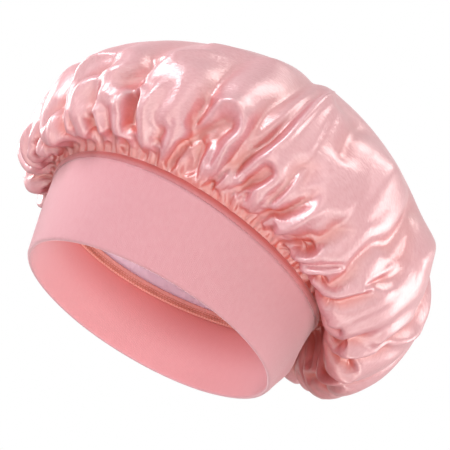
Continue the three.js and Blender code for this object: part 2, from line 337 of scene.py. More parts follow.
def makeLiningCloth():
    # Plain-woven polyester lining: smooth, with a low even sheen
    material, tree = newMaterial("plainWeaveLining")
    weave = addNode(tree, "TexNoise", Vector=clothPlace(tree, 0.8), Scale=1, Detail=2)
    return finishTrim(material, tree, weave, "#E4C8D6", "#EBD4DF", 0.2, 0.0002, 0.5, 0.5)


def makeBindingCloth():
    # Raw satin and jersey edges flattened under overlock loops: dull, warmer and darker
    material, tree = newMaterial("overlockedRawEdge")
    grain = addNode(tree, "TexNoise", Vector=clothPlace(tree, 0.9, 2.5), Scale=1, Detail=3)
    return finishTrim(material, tree, grain, "#DA8F84", "#E7A69B", 0.5, 0.0004, 0.85, 0.3)


def makeThread():
    # Spun polyester sewing thread: two plies twisted, a faint gloss on an orange pink
    material, tree = newMaterial("spunPolyesterThread")
    place = addNode(tree, "TexCoord").outputs["Object"]
    twist = addNode(tree, "TexNoise", Vector=place, Scale=1400, Detail=2)  # 0.7 mm a turn
    return finishTrim(material, tree, twist, "#B9604C", "#D07C64", 0.4, 0.0001, 0.6, 0.5)


def makeElasticTape():
    # Braided elastic: pale matt cords side by side
    material, tree = newMaterial("braidedElasticTape")
    bands = {"wave_type": "BANDS", "bands_direction": "Y"}
    cords = addNode(tree, "TexWave", bands, Vector=clothPlace(tree, 1), Scale=waveScale, Distortion=0.4)
    return finishTrim(material, tree, cords.outputs["Fac"], "#DCCFCA", "#F4ECE8", 0.5, 0.0003, 0.75, 0.5)


satinCloth = makeSatin()
jersey = makeKnit("matteJerseyKnit", *knit["outside"])
# painted light: a second copy of the jersey, tinted for the inside ply
jerseyInsideShaded = makeKnit("jerseyKnitInsideShaded", *knit["inside"])
liningCloth = makeLiningCloth()
bindingCloth = makeBindingCloth()
sewingThread = makeThread()
elasticTape = makeElasticTape()
print("finishes: made")


# Sizes that the pieces share, the same as the solids', and what they all use

opening = {"length": 0.18, "width": 0.1744}
seam = {
    "height": 0.0575,
    "length": 0.202,
    "width": 0.205,
    "forward": 0.003,
    "lean": 0.0045,  # how much lower it runs on the wearer's left
    "wave": 0.0034,
}


def mix(a, b, share):
    return a + (b - a) * share


def seamHeight(angle):
    return seam["height"] - seam["lean"] * np.cos(angle) - seam["wave"] * np.sin(2 * angle)


def wallPoint(angle, height, inset):
    # a height over the rim, and a way in from the outer face
    share = height / seamHeight(angle)
    halfWidth = mix(opening["width"], seam["width"], share) / 2 - inset
    halfLength = mix(opening["length"], seam["length"], share) / 2 - inset
    y = halfLength * np.sin(angle) - seam["forward"] * share
    return np.stack((halfWidth * np.cos(angle), y, height + 0 * angle), -1)


def underSeam(angle, drop, inset):
    return wallPoint(angle, seamHeight(angle) - drop, inset)


def ringAngles(count):
    return np.arange(count) / count * turn


def lengthOf(vectors):
    return np.linalg.norm(vectors, axis=-1)


def unit(vectors):
    return vectors / np.maximum(lengthOf(vectors), 1e-12)[..., None]


def hump(offset, width):
    return np.exp(-((offset / width) ** 2))


def wander(angle, parts, seed):
    # a smooth value round the ring, from -1 to 1
    own = np.random.default_rng(seed)
    total = 0
    for count in range(1, parts + 1):
        total = total + own.normal() * np.sin(count * angle + own.uniform(0, turn)) / count**0.5
    return total / np.abs(total).max()


def discGrid(rings):
    # square rings of points pressed into a circle: angle round, and share out from the middle
    span = np.arange(-rings, rings + 1)
    i, j = np.meshgrid(span, span, indexing="ij")
    reach = np.maximum(np.abs(i), np.abs(j))
    wide = np.abs(i) >= np.abs(j)
    big, small = np.where(wide, i, j), np.where(wide, j, -i)
    angle = math.pi / 4 * small / np.where(big == 0, 1, big)
    angle = angle + math.pi * (0.5 * ~wide + (big < 0))
    count = 2 * rings + 1
    index = np.arange(count * count).reshape(count, count)
    faces = np.stack((index[:-1, :-1], index[1:, :-1], index[1:, 1:], index[:-1, 1:]), -1).reshape(-1, 4)
    return (angle % turn).ravel(), (reach / rings).ravel(), faces


def followRings(rings, knots, way):
    # points on a smooth cloth through rings of points, one ring at each knot of the way up
    knots = np.array(knots)
    gaps = np.diff(knots)
    slope = np.gradient(rings, knots, axis=0)
    slope[-1, ..., 2] = 0  # level at the last ring
    part = np.clip(np.searchsorted(knots, way, side="right") - 1, 0, len(gaps) - 1)
    gap = gaps[part][..., None]
    t = (way - knots[part])[..., None] / gap

    def pick(table, index):
        return np.take_along_axis(table, index[None, ..., None].repeat(3, -1), 0)[0]

    start, end = pick(rings, part), pick(rings, part + 1)
    leave, arrive = pick(slope, part) * gap, pick(slope, part + 1) * gap
    cube, square = t**3, t**2
    return (
        (2 * cube - 3 * square + 1) * start
        + (cube - 2 * square + t) * leave
        + (3 * square - 2 * cube) * end
        + (cube - square) * arrive
    )


def faceOutward(points, faces, out):
    # the faces of a cap turned to look out of it, and the way out at each point
    a, b, c, d = (points[faces[:, k]] for k in range(4))
    faceNormals = np.cross(c - a, d - b)
    normals = np.zeros_like(points)
    for k in range(4):
        np.add.at(normals, faces[:, k], faceNormals)
    normals = unit(normals)
    if normals[:, 2][out < 0.2].mean() < 0:
        return faces[:, ::-1], -normals
    return faces, normals


# The crown's smooth form

crown = {
    "front": 0.137,
    "back": 0.162,
    "side": 0.133,
    "height": 0.191,
    "topShift": 0.012,
    "gridRings": 100,
    "gatherDepth": 0.018,
    "puffShare": 0.45,
    "openingOut": 0.11,  # share of the way up in which the gathers open out
    "foldsFrom": 0.006,  # share of the way up at which folds have their full height
    "tuck": 0.0016,  # how far the edge goes down behind the band's top
    "tuckInset": 0.0009,
    "tuckedTo": 0.004,  # share of the way up in which the cloth comes out of the seam
    "deepest": 0.0155,  # no fold goes further in than this, to clear the lining
    "softFrom": 0.6,  # share of that depth from which a fold flattens out
    "flat": (0.49, 0.58),  # metres across the oval before it is gathered
}
# Rings from the seam to the widest one: way out at the front, sides and back, then the rise there
bellyRings = (
    (0, 0, 0, 0, 0, 0),
    (0.04, 0.04, 0.025, 0.022, 0.025, 0.022),
    (0.17, 0.17, 0.1, 0.015, 0.05, -0.01),
    (0.41, 0.43, 0.23, -0.04, 0.085, -0.185),
    (0.72, 0.73, 0.52, -0.01, 0.15, -0.265),
    (0.95, 0.95, 0.8, 0.12, 0.23, -0.12),
    (1.02, 1.02, 0.94, 0.24, 0.32, 0.05),
    (1, 1, 1, 0.37, 0.42, 0.25),
)
# From there to the top: reach at the ends and sides, then the rise at the front, sides and back
domeRings = (
    (0.943, 0.956, 0.51, 0.531, 0.432),
    (0.813, 0.85, 0.668, 0.672, 0.611),
    (0.637, 0.707, 0.809, 0.806, 0.764),
    (0.437, 0.531, 0.913, 0.908, 0.879),
    (0.207, 0.278, 0.98, 0.975, 0.965),
)
keepBack = (0.8, 0.6, 0.4, 0.2, 0)  # how far the points of each dome ring keep back along it
ringWays = (0, 0.012, 0.035, 0.08, 0.15, 0.23, 0.3, 0.37, 0.47, 0.58, 0.69, 0.8, 0.92)
gridSize = 2 * crown["gridRings"] + 1


def aroundValue(angle, front, side, back):
    along = np.sin(angle)
    return mix(side, np.where(along > 0, back, front), np.abs(along) ** 1.5)


def crownRing(ring, angle):
    if ring < len(bellyRings):
        front, side, back, *rises = bellyRings[ring]
        atBack = np.sin(angle) > 0
        base = underSeam(angle, 0, 0)
        endFrom = seam["length"] / 2 + np.where(atBack, -1, 1) * seam["forward"]
        endTo = np.where(atBack, crown["back"], crown["front"])
        x = mix(seam["width"] / 2, crown["side"], side) * np.cos(angle)
        y = base[..., 1] + (endTo - endFrom) * np.where(atBack, back, front) * np.sin(angle)
        level = base[..., 2]
    else:
        ring -= len(bellyRings)
        end, side, *rises = domeRings[ring]
        shift = crown["topShift"]
        # points keep back along their ring, so that folds run straight on from the belly
        offset = 2 * (shift + seam["forward"]) / (crown["front"] + crown["back"])
        angle = angle - keepBack[ring] * math.asin(offset) * np.cos(angle)
        reach = np.where(np.sin(angle) > 0, crown["back"] - shift, crown["front"] + shift)
        x = crown["side"] * side * np.cos(angle)
        y = shift + reach * end * np.sin(angle)
        level = seam["height"]
    z = level + aroundValue(angle, *rises) * (crown["height"] - seam["height"])
    return np.stack((x, y, z), -1)


def crownForm(angle, way):
    # the unfolded crown, smooth through its rings and over the top
    top = np.zeros(np.shape(angle) + (3,))
    top[..., 1], top[..., 2] = crown["topShift"], crown["height"]
    rings = [crownRing(ring, angle) for ring in range(len(ringWays))]
    rings += [top, crownRing(len(ringWays) - 1, angle + math.pi)]
    return followRings(np.array(rings), ringWays + (1.0, 2 - ringWays[-1]), way)


# Valleys between the gathers, as shares of the turn: place, lean, depth and reach up the cloth
gathers = np.array((
    (0.036, 0, 0.7, 0.62), (0.078, -0.004, 0.75, 0.55), (0.119, 0.02, 0.85, 0.62),
    (0.167, 0.045, 1, 0.7), (0.211, 0.03, 0.85, 0.58), (0.256, 0.012, 0.95, 0.64),
    (0.306, -0.01, 0.75, 0.8), (0.356, 0.015, 0.95, 0.6), (0.41, 0, 0.7, 0.82),
    (0.466, -0.02, 0.9, 0.6), (0.528, 0.01, 0.8, 0.74), (0.594, -0.012, 0.85, 0.62),
    (0.658, -0.02, 0.9, 0.6), (0.711, -0.03, 0.8, 0.62), (0.756, -0.03, 0.85, 0.56),
    (0.8, -0.034, 0.75, 0.64), (0.842, -0.042, 1, 0.78), (0.875, -0.015, 0.6, 0.5),
    (0.911, -0.022, 0.8, 0.68), (0.956, 0.004, 1, 0.66), (0.992, 0.016, 0.85, 0.95),
))


def gatherHeight(angle, way):
    # the large gathers: sharp valleys with round puffs between them
    places = gathers[:, 0] + gathers[:, 1] * np.sin(math.pi / 2 * way)[:, None]
    past = ((angle / turn)[:, None] - places) % 1
    own = np.argmin(past, axis=1)
    far = (own + 1) % len(gathers)
    rows = np.arange(len(angle))
    width = (places[rows, far] - places[rows, own]) % 1
    share = past[rows, own] / width

    def valley(index):
        along = np.minimum(way / gathers[index, 3], 1)
        opened = np.minimum(way / crown["openingOut"], 1)
        return gathers[index, 2] * np.sin(math.pi * along**0.65) * opened

    near, beyond = valley(own), valley(far)
    inward = (1 - share) ** 2 * near + share**2 * beyond
    return (crown["puffShare"] * mix(near, beyond, share) - inward) * crown["gatherDepth"]


# Small pleats drawn up by the seam: count round, height, reach up the cloth and seed
pleatSets = ((43, 0.0016, 0.02, 3), (23, 0.0026, 0.06, 8))


def pleatHeight(angle, way, count, height, reach, seed):
    drift = wander(angle, 23, seed) * 2.4 + wander(angle, 5, seed + 1) * way * 14
    phase = count * angle / turn + drift
    puff = np.abs(np.sin(math.pi * phase)) ** 0.7 - 0.6
    strength = np.maximum(0.65 + 0.6 * wander(angle, 29, seed + 2), 0.1)
    envelope = np.minimum(way / 0.014, 1) ** 0.7 * np.exp(-((way / (reach * strength)) ** 1.6))
    return puff * height * strength * envelope


# Folds laid one by one: kind, half width and height in mm, then the path as degrees round and
# hundredths of the way up. A lap stands up on its left, seen along the path from outside.
folds = (
    # front of the wearer's left side
    ("valley", 3.5, 3.5, (-89, 5), (-88, 11)),
    ("ridge", 3, 3.4, (-85, 5), (-84, 10), (-82, 15)),
    ("valley", 3.5, 3.6, (-80, 6), (-80, 12), (-78, 17)),
    ("ridge", 2.6, 3.4, (-75, 5), (-77, 10), (-76, 15), (-74, 19)),
    ("valley", 6, 5, (-61.5, 33), (-62.5, 29), (-64.5, 25), (-67, 21), (-70.5, 17), (-72, 13)),
    ("ridge", 5, 3.5, (-66, 7), (-64.5, 12), (-63.5, 17), (-63, 22)),
    ("ridge", 3, 4.6,
        (-61, 6), (-58, 10), (-57, 15), (-57, 20), (-58.8, 25), (-59, 30), (-56, 33.5), (-51.5, 36),
        (-46, 38.5), (-41, 40.5)),
    ("valley", 4, 5,
        (-57, 8), (-55.8, 12), (-55.5, 17), (-55.8, 20), (-56.5, 24), (-55.3, 28.5), (-50.5, 31),
        (-46.5, 33.5), (-43, 36)),
    ("ridge", 7, 4,
        (-53.5, 11), (-53, 18), (-52.3, 22.5), (-48.5, 26.5), (-42.5, 29.7), (-38.5, 33.5), (-36, 38)),
    ("valley", 7, 5.5, (-33, 42), (-34.8, 37), (-35.8, 33), (-38.5, 28.8), (-40.3, 25.5), (-41, 22)),
    ("ridge", 5, 3, (-44.5, 15), (-44.5, 19), (-43.5, 22.5), (-42, 25)),
    ("pocket", 5, 3.6, (-48, 6), (-47.3, 10), (-47.2, 14)),
    ("ridge", 2.6, 3.4, (-47.5, 16.5), (-45, 15.5), (-43.6, 13), (-43.4, 9), (-45, 5)),
    ("valley", 4, 3.4, (-42.5, 2), (-41.3, 7), (-41, 13), (-42, 18), (-46, 20)),
    ("ridge", 3, 4.2,
        (-38, 15), (-38, 19), (-36.5, 22.5), (-34, 25.2), (-31.5, 24), (-30.4, 19.5), (-30.6, 14),
        (-30, 8)),
    ("pocket", 6, 4.4, (-33.5, 12), (-33.6, 17), (-33.8, 21.5)),
    ("valley", 3.5, 3, (-38, 1), (-36, 4.5)),
    ("ridge", 5, 3.5, (-27.5, 3), (-28, 10), (-28.5, 18), (-28, 25), (-26, 32)),
    ("valley", 4, 3, (-24.5, 6), (-23.5, 11), (-22.5, 15.5)),
    ("valley", 8, 4, (-13, 31), (-14.8, 25), (-15.5, 20), (-16.8, 14)),
    # broad soft folds over the upper crown
    ("ridge", 4.5, 3.2, (-35, 26.5), (-32.5, 31), (-30.2, 37), (-28, 42), (-24, 47), (-18, 51)),
    ("ridge", 13, 3, (-30, 52), (-18, 57), (-8, 60), (2, 62)),
    ("ridge", 12, 3.5, (13, 28), (11.5, 40), (12, 50), (14, 60)),
    ("valley", 11, 4, (19, 37), (19, 46), (21, 55), (26, 64)),
    ("ridge", 13, 4.2, (27, 24), (28, 35), (31, 45), (38, 56)),
    ("valley", 11, 4.2, (39, 30), (42, 40), (48, 50), (58, 58)),
    ("ridge", 12, 3.2, (50, 37), (58, 46), (70, 54)),
    # middle of the wearer's left side
    ("pocket", 4.5, 3.4, (-18.5, 2), (-17.5, 6), (-16.5, 8.5)),
    ("ridge", 2.4, 3, (-15.8, 2), (-15, 7), (-15.2, 11)),
    ("pocket", 10, 7, (-12.8, 6), (-11, 13), (-9, 19), (-7.6, 23.5)),
    ("ridge", 5, 4,
        (-14.5, 25), (-11, 28.5), (-7.6, 30), (-4.4, 27), (-3.6, 22), (-4.8, 15), (-4.2, 8), (-3, 3)),
    ("ridge", 2.2, 4, (-9.8, 3), (-9, 7), (-8.6, 12), (-7.8, 16)),
    ("valley", 4, 2.6, (-7, 6), (-6.4, 12), (-5.8, 18)),
    ("valley", 2.4, 3.4, (-3.6, 0.5), (-2.6, 3.5)),
    ("ridge", 2.4, 3.6, (-1.2, 1.5), (-0.4, 5), (0.2, 9)),
    ("valley", 6, 4.4, (0.8, 7), (1.4, 14), (2.6, 22), (4, 30), (4.6, 38)),
    ("lap", 5, 5, (9, 66), (8, 56), (7, 48), (6, 38), (5, 29), (3.2, 21), (2.2, 14)),
    ("pocket", 6, 4.5, (5.6, 6), (6.4, 11), (7.2, 17)),
    ("ridge", 2.2, 4, (5.4, 2), (6.6, 6), (8.6, 11), (9.6, 14)),
    ("ridge", 2.2, 3, (5, 3), (4, 7), (3.4, 11)),
    ("ridge", 6, 2.5, (12, 2), (11.5, 7), (11.5, 13)),
    ("valley", 4.5, 4.4, (15.5, 3), (17, 10), (17.6, 16), (18.2, 22), (19, 28)),
    ("ridge", 2.8, 4, (15, 8), (14.6, 13), (14, 19), (13.4, 26), (13.6, 33)),
    ("ridge", 2, 2.6, (17.8, 2), (18.6, 6)),
    ("ridge", 3.2, 3.8, (21.5, 3), (21.8, 8), (21.6, 14), (21.2, 21), (22, 27)),
    ("valley", 6, 3, (25.5, 5), (25, 12), (25.5, 20)),
    ("pocket", 4.5, 3.2, (28.6, 7), (28.2, 14)),
    ("ridge", 3, 4, (31, 3), (30.8, 8), (31.2, 12), (30.4, 17), (28.6, 21)),
    # back of the wearer's left side
    ("lap", 3, 3.6, (36.2, 21.5), (34.2, 17), (33.4, 11), (34, 5)),
    ("pocket", 4.5, 4, (37.5, 7), (36.8, 13)),
    ("valley", 8, 4, (39.5, 8), (39, 15), (38, 20), (36.6, 25), (36.8, 30), (38.5, 37)),
    ("ridge", 3.4, 6, (42.5, 8), (41.3, 13), (41.6, 17), (42.6, 21), (45, 25), (48, 28.5), (51, 33)),
    ("valley", 5, 3, (42.4, 22.5), (44.6, 26.5), (47.2, 31)),
    ("ridge", 4, 3, (40.8, 20), (42.5, 24), (43.8, 27.5), (46, 33), (49, 38)),
    ("ridge", 9, 3, (46, 10), (46.5, 17), (48.5, 25), (53, 32)),
    ("pocket", 4, 3, (52.5, 9), (53, 13)),
    ("ridge", 2.4, 3.4, (50.5, 11), (52, 14.5)),
    ("valley", 6, 5, (60.5, 9), (58.8, 13), (57, 18), (57.8, 23)),
    ("ridge", 3.6, 7,
        (65.5, 8.5), (63, 12), (61.6, 15), (62.2, 18), (63.8, 21.5), (65.5, 25), (68.5, 28.5),
        (73, 33), (79, 36)),
    ("valley", 5, 3.4, (62, 22.5), (64, 27), (67.5, 31)),
    ("ridge", 4, 3.4, (60.6, 20), (60.9, 24.5), (62.2, 28.5), (65.2, 33), (69, 36)),
    ("pocket", 5.5, 5, (68, 9), (67.5, 13), (68.5, 16)),
    ("ridge", 2.8, 4.4, (74, 9), (72.6, 12), (72.2, 15), (72.5, 18)),
    ("valley", 5, 5, (88, 7), (81, 11), (78, 16), (80, 20)),
    ("lap", 4, 4, (104, 8), (92, 9), (84, 12), (79, 17)),
)


foldReach = 3.2  # half widths past which a fold no longer lifts
foldEnds = (0.15, 0.35)  # shares of its run over which a fold rises and dies away
broadFrom = 0.0032  # metres; folds with a larger half width stand up to a quarter higher


def smoothPath(path, steps):
    # a path's points as one smooth run, by way of its own points
    points = np.array([path[0], *path, path[-1]], float)
    t = (np.arange(steps) / steps)[:, None]
    run = []
    for p0, p1, p2, p3 in zip(points, points[1:], points[2:], points[3:]):
        bend, twist = 2 * p0 - 5 * p1 + 4 * p2 - p3, 3 * p1 - p0 - 3 * p2 + p3
        run.append(0.5 * (2 * p1 + (p2 - p0) * t + bend * t**2 + twist * t**3))
    return np.concatenate([*run, points[-2:-1]])


def foldHeight(points, normals, kind, halfWidth, height, *path):
    # how far a fold lifts each point, from its distance to the fold's path and its side of it
    halfWidth, height = halfWidth / 1000, height / 1000
    run = smoothPath(path, 6)
    line = crownForm(np.radians(run[:, 0]), run[:, 1] / 100)
    middle = line.mean(0)
    limit = lengthOf(line - middle).max() + foldReach * halfWidth
    near = np.flatnonzero(lengthOf(points - middle) < limit)
    steps = np.diff(line, axis=0)
    lengths = lengthOf(steps)
    gaps = points[near, None] - line[:-1]
    share = np.clip((gaps * steps).sum(-1) / lengths**2, 0, 1)
    offsets = gaps - share[..., None] * steps
    distances = lengthOf(offsets)
    own = distances.argmin(1)
    row = np.arange(len(near))
    done = np.cumsum(lengths) - lengths
    along = (done[own] + share[row, own] * lengths[own]) / lengths.sum()
    left = np.sign((np.cross(normals[near], steps[own]) * offsets[row, own]).sum(1))
    t = distances[row, own] / halfWidth
    ends = np.clip(along / foldEnds[0], 0, 1) * np.clip((1 - along) / foldEnds[1], 0, 1)
    ends = ends**2 * (3 - 2 * ends)
    if kind == "valley":
        lift = -np.exp(-1.5 * t**1.3) * ends
    elif kind == "ridge":
        lift = np.exp(-1.3 * t**1.5) * ends
    elif kind == "lap":
        lift = (hump(t * left - 0.45, 0.6) - 0.9 * hump(t * left + 0.4, 0.5)) * ends
    else:
        inside = np.clip((1.15 - t) / 0.8, 0, 1)
        lift = -(inside**2) * (3 - 2 * inside) + 0.16 * hump(t - 1.45, 0.5)
    result = np.zeros(len(points))
    result[near] = lift * height * np.clip(halfWidth / broadFrom, 1, 1.25)
    return result


def farFolds():
    # folds for the other half of the crown, in the same kinds and sizes as the ones above
    draw = np.random.default_rng(7)
    made = []
    for spot in np.arange(112, 288, 8.5):
        place = spot + draw.uniform(-2.5, 2.5)
        lean = draw.uniform(-7, 7)
        top = draw.uniform(16, 36)
        kind = draw.choice(["pocket", "lap", "ridge", "valley"], p=[0.34, 0.26, 0.24, 0.16])
        widths = {"pocket": draw.uniform(5, 9.5), "lap": draw.uniform(3, 6)}
        half = widths.get(kind, draw.uniform(2.5, 7))
        bend = draw.uniform(-3, 3)
        path = ((place, 3), (place + lean * 0.3 + bend, top * 0.45), (place + lean, top))
        made.append((kind, half, draw.uniform(3.4, 6), *path))
        side = place + draw.uniform(3, 5)
        half, height, reach = draw.uniform(1.8, 2.8), draw.uniform(2, 3), draw.uniform(8, 15)
        made.append(("ridge", half, height, (side, 2), (side + lean * 0.4, reach)))
    for spot in (128, 163, 196, 231, 262):
        place = spot + draw.uniform(-5, 5)
        sweep = draw.uniform(-9, 9)
        turns = ((0, 12), (0.5, 30), (1, 48), (0.7, 66))
        path = [(place + sweep * share, up) for share, up in turns]
        made.append(("lap", draw.uniform(5, 7), draw.uniform(3.6, 5), *path))
    return tuple(made)


# Let the satin settle as cloth: a net of threads with the lengths of its cut pattern, held
# at the seam, puffed from inside and drawn softly to its laid folds

settle = {
    "steps": 160,
    "rounds": 4,
    "spare": 1.55,  # most that a thread may be longer than where it is laid
    # share of the pattern's spare length that is let out, by the way up from the seam
    "letOut": (
        (0, 0.02, 0.05, 0.1, 0.2, 0.3, 0.45, 1),
        (0.09, 0.1, 0.11, 0.11, 0.1, 0.07, 0.04, 0.02),
    ),
    "shear": 0.35,
    "bend": 0.35,
    "longBend": 0.2,
    "give": 0.3,  # share of a thread's error that one round takes away
    "anchor": 0.012,
    "push": 0.000002,  # metres a step, out along the cloth
    "damping": 0.9,
    "proud": 0.011,  # metres; how far the cloth may stand out from its smooth form
    "freeFrom": (0.002, 0.014),  # share of the way up over which the seam lets the cloth go
}


def threadSets(start, flat, way):
    # neighbours to hold apart: across, along, both diagonals, then two and four apart
    sets = []
    letOut = np.interp(way, *settle["letOut"])
    for down, right, strength, lasting in (
        (1, 0, 1.0, True), (0, 1, 1.0, True),
        (1, 1, settle["shear"], True), (1, -1, settle["shear"], True),
        (2, 0, settle["bend"], False), (0, 2, settle["bend"], False),
        (4, 0, settle["longBend"], False), (0, 4, settle["longBend"], False),
    ):
        a = (slice(0, gridSize - down), slice(max(0, -right), gridSize - max(0, right)))
        b = (slice(down, gridSize), slice(max(0, right), gridSize + min(0, right)))
        laid = lengthOf(start[b] - start[a])
        cut = lengthOf(flat[b] - flat[a])
        length = np.maximum(mix(laid, cut, letOut[a]), laid * 0.98)
        sets.append((a, b, np.minimum(length, laid * settle["spare"]), strength, lasting))
    return sets


def gridNormals(points):
    return unit(np.cross(np.gradient(points, axis=0), np.gradient(points, axis=1)))


def deepestAt(way):
    # how far in a fold may go: little at the seam, where the lining is close behind
    return crown["deepest"] * np.clip(way / 0.13, 0.1, 1)


def settleCloth(start, flat, form, outward, way):
    shape = (gridSize, gridSize, 3)
    start, flat, form, outward = (p.reshape(shape) for p in (start, flat, form, outward))
    way = way.reshape(shape[:2])
    held, loose = settle["freeFrom"]
    free = np.clip((way - held) / (loose - held), 0, 1)[..., None]
    deepest = deepestAt(way)
    sets = threadSets(start, flat, way)
    points, before = start.copy(), start.copy()
    facing = np.sign((gridNormals(points) * outward).sum())
    for _ in range(settle["steps"]):
        push = settle["push"] * facing * gridNormals(points)
        drawn = settle["anchor"] * (start - points)
        ahead = points + free * (settle["damping"] * (points - before) + push + drawn)
        before, points = points, ahead
        for _ in range(settle["rounds"]):
            for a, b, length, strength, lasting in sets:
                gap = points[b] - points[a]
                now = np.sqrt((gap * gap).sum(-1))
                off = (now - length) / np.maximum(now, 1e-9)
                if not lasting:
                    off = np.minimum(off, 0)
                move = gap * (settle["give"] * strength * off)[..., None]
                points[a] += move * free[a]
                points[b] -= move * free[b]
        lift = ((points - form) * outward).sum(-1)
        kept = np.clip(lift, -deepest, settle["proud"])
        points += outward * ((kept - lift) * 0.5)[..., None]
    print("crown: settled")
    return points.reshape(-1, 3)


def cutPattern(angle, way):
    # the cloth laid flat: each point as far from the middle as its run down from the top
    columns, rows = 180, 120
    turns, ways = np.linspace(0, turn, columns + 1), np.linspace(1, 0, rows + 1)
    steps = lengthOf(np.diff(crownForm(*np.meshgrid(turns, ways)), axis=0))
    runs = np.concatenate([np.zeros((1, columns + 1)), np.cumsum(steps, axis=0)])
    column, row = angle / turn * columns, (1 - way) * rows
    c, r = np.minimum(column.astype(int), columns - 1), np.minimum(row.astype(int), rows - 1)
    upper, lower = (mix(runs[k, c], runs[k, c + 1], column - c) for k in (r, r + 1))
    reach = mix(upper, lower, row - r)
    return np.stack((reach * np.cos(angle), reach * np.sin(angle), 0 * reach), -1)


def layFolds(angle, way, form, normals):
    # the cloth before it settles: its gathers, pleats and folds, and its edge in the seam
    lift = gatherHeight(angle, way)
    for pleatSet in pleatSets:
        lift += pleatHeight(angle, way, *pleatSet)
    for fold in folds + farFolds():
        lift += foldHeight(form, normals, *fold)
    lift *= np.clip(way / crown["foldsFrom"], 0, 1)
    deepest, soft = deepestAt(way), crown["softFrom"]
    past = np.maximum(-lift - soft * deepest, 0)
    flattened = -deepest * (1 - (1 - soft) * np.exp(-past / ((1 - soft) * deepest)))
    lift = np.where(past > 0, flattened, lift)
    tucked = underSeam(angle, crown["tuck"], crown["tuckInset"])
    return mix(tucked, form + normals * lift[:, None], np.clip(way / crown["tuckedTo"], 0, 1)[:, None])


# Painted shade: a darker coral painted into the hollows and up from the seam, as strengths and shares of
# the way
paintedShade = {
    "spread": 90,  # grid steps over which a hollow is judged
    "depth": 0.0038,
    "deepInside": (0.15, 0.3),  # a hollow's strength high up, and how far up it is stronger
    "seam": (0.8, 0.035),
    "nape": (0.1, 0.08),  # more at the nape, where the cloth doubles under
    "most": 0.9,
}


def paintedHollowShade(angle, way, lift):
    # painted shade from 0 to 1: how deep each point lies below the cloth around it, and the gathers'
    # edge
    around = lift.reshape(gridSize, gridSize)
    for _ in range(paintedShade["spread"]):
        wide = np.pad(around, 1, mode="edge")
        around = (wide[:-2, 1:-1] + wide[2:, 1:-1] + wide[1:-1, :-2] + wide[1:-1, 2:]) / 4
    shadeShare = np.clip((around.ravel() - lift) / paintedShade["depth"], 0, 1)
    nape = np.clip(np.sin(angle), 0, 1) ** 3
    strength, up = (a + b * nape for a, b in zip(paintedShade["seam"], paintedShade["nape"]))
    least, fades = paintedShade["deepInside"]
    shadeShare = shadeShare * (least + (1 - least) * hump(way, fades))
    return np.clip(shadeShare + strength * hump(way, up), 0, paintedShade["most"])


def makeCrown():
    angle, out, faces = discGrid(crown["gridRings"])
    way = (1 - out) * (0.5 + 0.5 * (1 - out))  # rings lie closer together near the seam
    form = crownForm(angle, way)
    faces, normals = faceOutward(form, faces, out)
    points = layFolds(angle, way, form, normals)
    flat = cutPattern(angle, way)
    print("crown: grid folded,", len(points), "points")
    points = settleCloth(points, flat, form, normals, way)
    piece = makePiece("satin_puff", points, faces, satinCloth, flat[:, :2])
    # painted shade, kept on the points for the satin to darken by
    hollowShade = piece.data.attributes.new("hollowShade", "FLOAT", "POINT")
    shadeShare = paintedHollowShade(angle, way, ((points - form) * normals).sum(-1))
    hollowShade.data.foreach_set("value", shadeShare.astype(np.float32))
    softer = piece.modifiers.new("softer", "SUBSURF")
    softer.levels = softer.render_levels = 1
    return piece


crownPiece = makeCrown()
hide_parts("satin_crown")
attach(crownPiece, body)
print("crown: made")


def sewnRing(name, rows, radius, up, material, upWrap=0):
    # a closed body from rows of points round the seam. On the flat cloth, a point lies at its
    # length round a mean radius, and at its row's run up the cloth.
    columns = len(rows[0])
    uv = np.stack(np.broadcast_arrays(ringAngles(columns) * radius, np.reshape(up, (-1, 1))), -1)
    points, faces = np.reshape(rows, (-1, 3)), gridFaces(len(rows), columns)
    return makePiece(name, points, faces, material, uv.reshape(-1, 2), (radius * turn, upWrap))


# The stretch band: one strip folded double, its two plies caught in the crown seam

band = {
    "columns": 420,
    "radius": 0.094,
    "ply": 0.0013,
    "slot": 0.0006,
    "rollHeight": 0.0048,
    "roll": 0.0009,  # how far the top edge swells out
    "groove": 0.0016,
    "below": {"slot": 0.0004, "inner": 0.0006},  # how far under the top these runs end
    "ripple": 0.0007,
    # the strip's own join at the nape, a shallow groove, and a soft pucker beside it
    "join": {"at": 91, "depth": 0.0009, "width": 0.0012},
    "pucker": {"at": 84, "height": 0.0032, "width": 0.008, "up": 0.3, "reach": 0.22},
    "joinRadius": 0.09,
    "flat": (0.125, 0.55),  # metres, before it is folded and stretched
}


def bandSection():
    # the section up the outer face, over the roll, through the slot and down the inside, as
    # (run, place, inset): a place is a share of its run, or at the rim's fold a height
    ply, slot = band["ply"], band["slot"]
    whole = 2 * ply + slot
    radius = whole / 2
    section = [("wall", k / 23, 0) for k in range(1, 24)]
    for k in range(1, 13):
        t = k / 12
        swell = band["roll"] * math.sin(math.pi * min(t * 1.06, 1)) ** 0.8
        swell -= band["groove"] * hump(t - 0.02, 0.24)
        section.append(("roll", t, -swell if t < 1 else ply * 0.35))
    section += [("top", 0, ply)] + [("slot", 1 - k / 8, ply) for k in range(1, 9)]
    section += [("slot", k / 8, ply + slot) for k in range(8)]
    section += [("top", 0, ply + slot), ("top", 0, whole - ply * 0.3)]
    section += [("inner", 1 - k / 29, whole) for k in range(30)]
    for a in math.pi / 12 * np.arange(1, 12):
        section.append(("fold", radius * (1 - math.sin(a)), radius * (1 + math.cos(a))))
    return section, whole, radius


